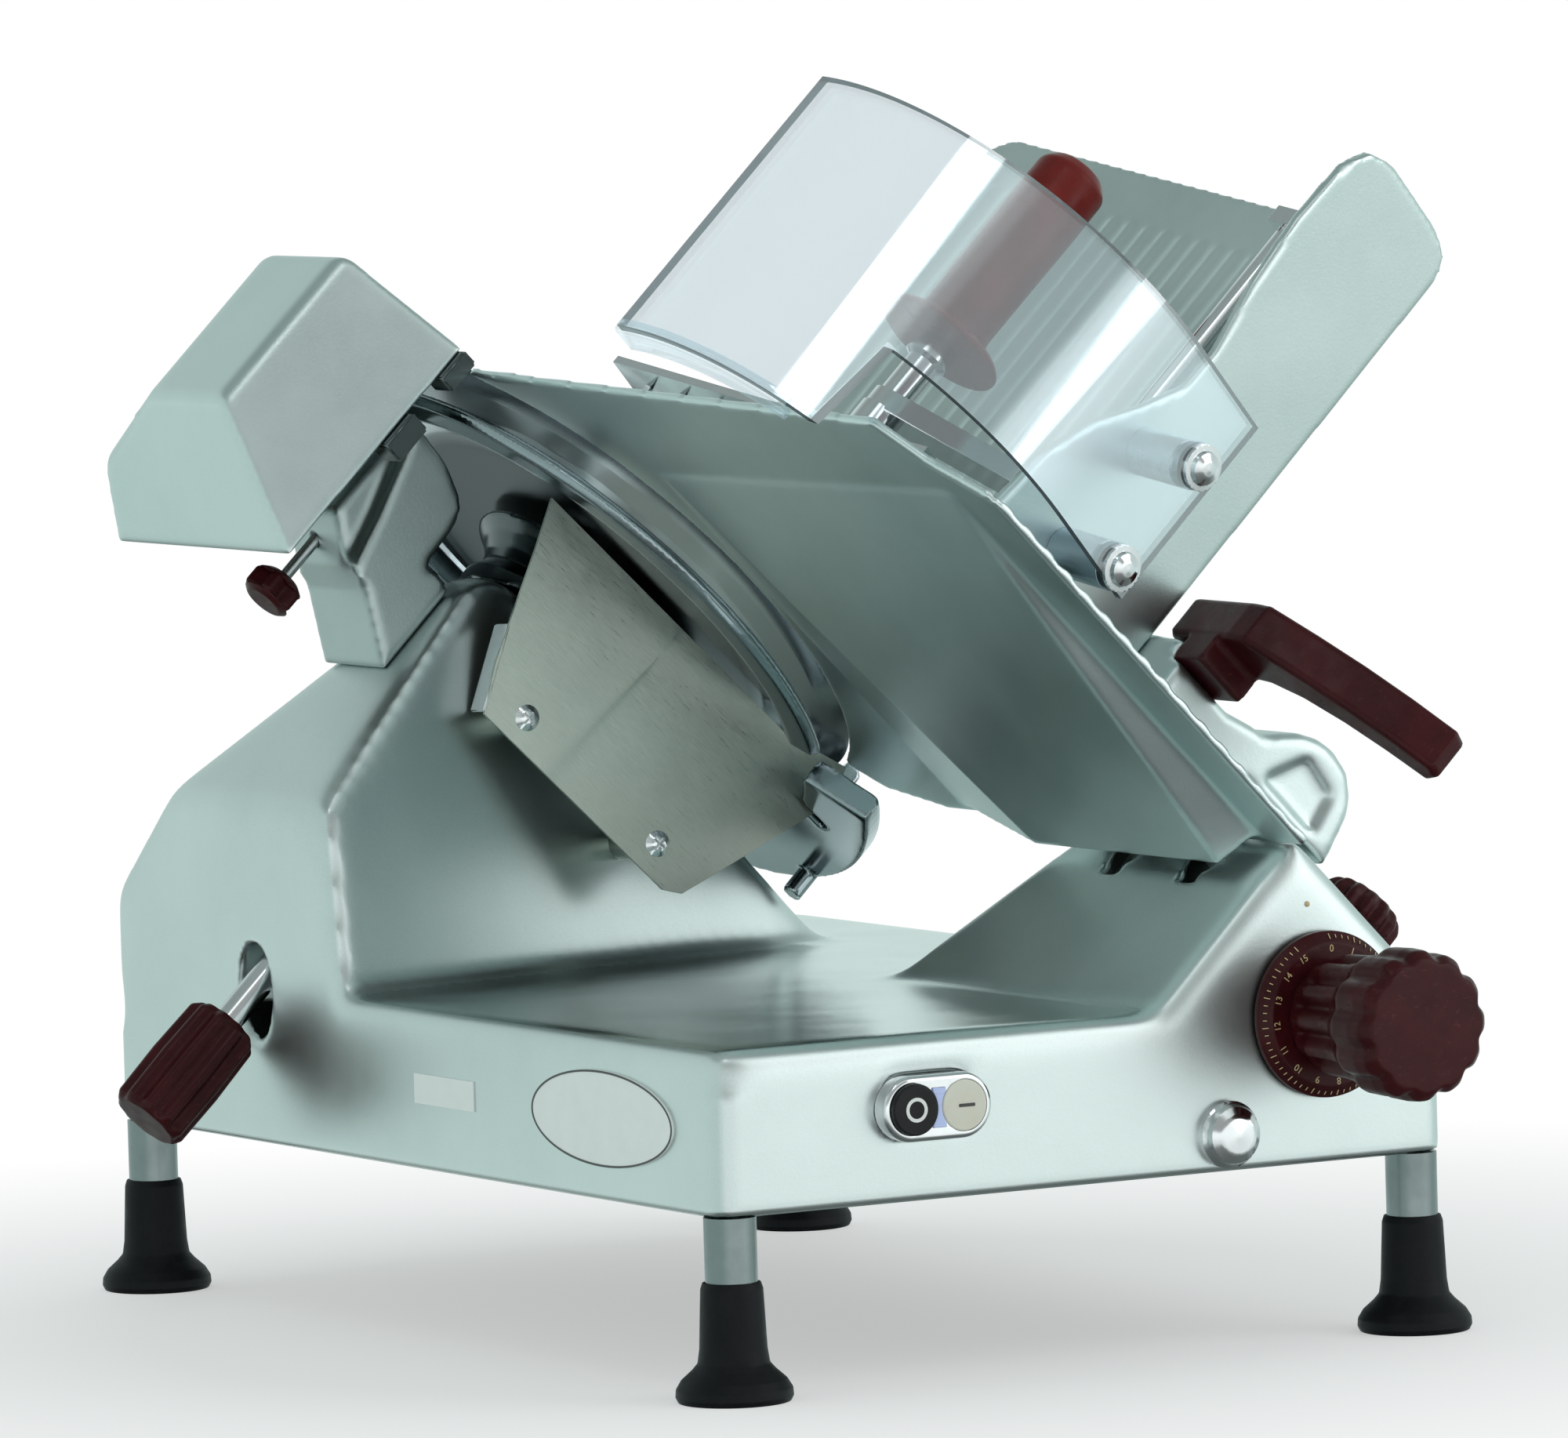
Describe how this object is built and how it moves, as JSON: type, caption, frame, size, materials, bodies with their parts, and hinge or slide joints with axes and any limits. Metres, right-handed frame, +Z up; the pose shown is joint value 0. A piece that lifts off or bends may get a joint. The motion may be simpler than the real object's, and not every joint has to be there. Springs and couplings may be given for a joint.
{
  "type": "deli meat slicer",
  "caption": "Gravity-feed slicer with an inclined circular blade, gauge plate, sliding food tray with clear guard, and sharpener.",
  "frame": {"origin": "middle of the overall footprint, on the plane the feet stand on", "axes": "+Z up, +X to the operator's right, +Y away from the operator along the carriage's travel"},
  "size_m": [0.5196, 0.735, 0.5879],
  "materials": {
    "casting": "anodised satin aluminium casting",
    "stainless": "brushed stainless sheet",
    "blade_steel": "ground and polished blade steel",
    "bright_steel": "bright turned steel",
    "rubber": "black moulded rubber",
    "red_plastic": "dark red moulded plastic",
    "black_button": "black moulded button",
    "pale_button": "off-white moulded button",
    "lens": "pale pilot lens",
    "clear_plastic": "clear sheet plastic",
    "plate_white": "blank pale plates",
    "motor_shell": "painted motor shell",
    "board": "circuit board and capacitor",
    "abrasive": "bonded abrasive",
    "nylon": "nylon roller"
  },
  "bodies": {
    "root": {"base_casting": "casting", "bottom_plate": "stainless", "foot_posts": "bright_steel", "rubber_feet": "rubber", "switch_bezel": "bright_steel", "pilot_lens": "lens", "guide_rod_cap": "bright_steel", "name_plates": "plate_white", "electric_motor": "motor_shell", "drive_belt": "rubber", "spindle_bearings": "bright_steel", "spindle_housing": "casting", "ring_guard": "casting", "slice_deflector": "stainless", "deflector_posts": "stainless", "deflector_screws": "bright_steel", "sharpener_bracket": "casting", "sharpener_post": "bright_steel", "gauge_rods": "bright_steel", "carriage_rod": "bright_steel", "control_board": "board", "cable_gland": "rubber", "power_cord": "rubber"},
    "blade": {"blade": "blade_steel", "blade_spindle": "bright_steel", "blade_pulley": "bright_steel", "blade_screws": "bright_steel"},
    "motor_shaft": {"motor_pulley": "bright_steel"},
    "tie_rod": {"tie_rod": "bright_steel", "tie_rod_knob": "red_plastic", "blade_cover": "stainless"},
    "stop_button": {"stop_button": "black_button"},
    "start_button": {"start_button": "pale_button"},
    "sharpener_sleeve": {"sharpener_sleeve": "bright_steel"},
    "sharpener_housing": {"sharpener_housing": "casting"},
    "grinding_stone": {"grinding_stone": "abrasive"},
    "honing_stone": {"honing_stone": "abrasive"},
    "sharpener_knob": {"sharpener_knob": "red_plastic"},
    "gauge": {"gauge_plate": "casting", "gauge_bracket": "casting", "gauge_slide": "casting"},
    "cam_roller": {"cam_roller": "nylon"},
    "dial": {"dial_knob": "red_plastic", "dial_shaft": "bright_steel", "thickness_cam": "bright_steel"},
    "carriage": {"carriage_block": "casting", "carriage_arm": "casting", "tray_floor": "casting", "tray_wall": "casting", "guard_standoffs": "bright_steel", "guard_screws": "bright_steel", "hand_guard": "clear_plastic", "carriage_handle": "red_plastic", "pusher_rod": "bright_steel"},
    "lock_knob": {"lock_knob": "red_plastic"},
    "pusher_collar": {"pusher_collar": "bright_steel"},
    "pusher": {"pusher_arm": "bright_steel", "pusher_stem": "bright_steel", "pusher_grip": "red_plastic"}
  },
  "joints": [
    {"name": "blade_spin", "type": "hinge", "parent": "root", "child": "blade", "pos_m": [-0.02767, 0.1605, 0.31094], "axis": [0.7175, 0, 0.6965], "continuous": true},
    {"name": "motor_spin", "type": "hinge", "parent": "root", "child": "motor_shaft", "pos_m": [-0.03464, 0.2305, 0.17455], "axis": [0.7175, 0, 0.6965], "continuous": true},
    {"name": "tie_rod_turn", "type": "hinge", "parent": "root", "child": "tie_rod", "pos_m": [-0.18552, 0.1605, 0.1577], "axis": [0.7175, 0, 0.6965], "range_deg": [-360, 720]},
    {"name": "stop_press", "type": "slide", "parent": "root", "child": "stop_button", "axis": [0, 1, 0], "range_m": [0, 0.003], "stiffness_N_per_m": 400, "springref_m": -0.0005},
    {"name": "start_press", "type": "slide", "parent": "root", "child": "start_button", "axis": [0, 1, 0], "range_m": [0, 0.003], "stiffness_N_per_m": 400, "springref_m": -0.0005},
    {"name": "sharpener_lift", "type": "slide", "parent": "root", "child": "sharpener_sleeve", "axis": [-0.6965, 0, 0.7175], "range_m": [0, 0.04]},
    {"name": "sharpener_turn", "type": "hinge", "parent": "sharpener_sleeve", "child": "sharpener_housing", "pos_m": [-0.14522, 0.1755, 0.44351], "axis": [-0.6965, 0, 0.7175], "range_deg": [0, 180]},
    {"name": "grinding_stone_spin", "type": "hinge", "parent": "sharpener_housing", "child": "grinding_stone", "pos_m": [-0.17607, 0.1485, 0.41356], "axis": [-0.6965, 0, 0.7175], "continuous": true},
    {"name": "honing_stone_spin", "type": "hinge", "parent": "sharpener_housing", "child": "honing_stone", "pos_m": [-0.17822, 0.2195, 0.41147], "axis": [-0.6965, 0, 0.7175], "continuous": true},
    {"name": "sharpener_knob_turn", "type": "hinge", "parent": "root", "child": "sharpener_knob", "pos_m": [-0.14783, 0.1695, 0.36293], "axis": [0.7175, 0, 0.6965], "range_deg": [0, 270]},
    {"name": "gauge_slide", "type": "slide", "parent": "root", "child": "gauge", "axis": [-0.7175, 0, -0.6965], "range_m": [0, 0.015]},
    {"name": "cam_roller_spin", "type": "hinge", "parent": "gauge", "child": "cam_roller", "pos_m": [0.1633, -0.2615, 0.17778], "axis": [0, 1, 0], "continuous": true},
    {"name": "dial_turn", "type": "hinge", "parent": "root", "child": "dial", "pos_m": [0.13736, -0.2895, 0.1526], "axis": [0, -1, 0], "range_deg": [0, 330]},
    {"name": "carriage_slide", "type": "slide", "parent": "root", "child": "carriage", "axis": [0, 1, 0], "range_m": [0, 0.25]},
    {"name": "lock_knob_turn", "type": "hinge", "parent": "carriage", "child": "lock_knob", "pos_m": [0.19332, -0.2255, 0.19097], "axis": [0.7175, 0, 0.6965], "range_deg": [0, 270]},
    {"name": "pusher_slide", "type": "slide", "parent": "carriage", "child": "pusher_collar", "axis": [0.7175, 0, 0.6965], "range_m": [0, 0.16]},
    {"name": "pusher_swing", "type": "hinge", "parent": "pusher_collar", "child": "pusher", "pos_m": [0.04791, -0.21271, 0.3867], "axis": [0.7175, 0, 0.6965], "range_deg": [0, 40]}
  ],
  "couplings": [
    {"joint": "motor_spin", "follows": "blade_spin", "ratio": 1.5714},
    {"joint": "dial_turn", "follows": "gauge_slide", "rad_per_m": 383.97}
  ]
}
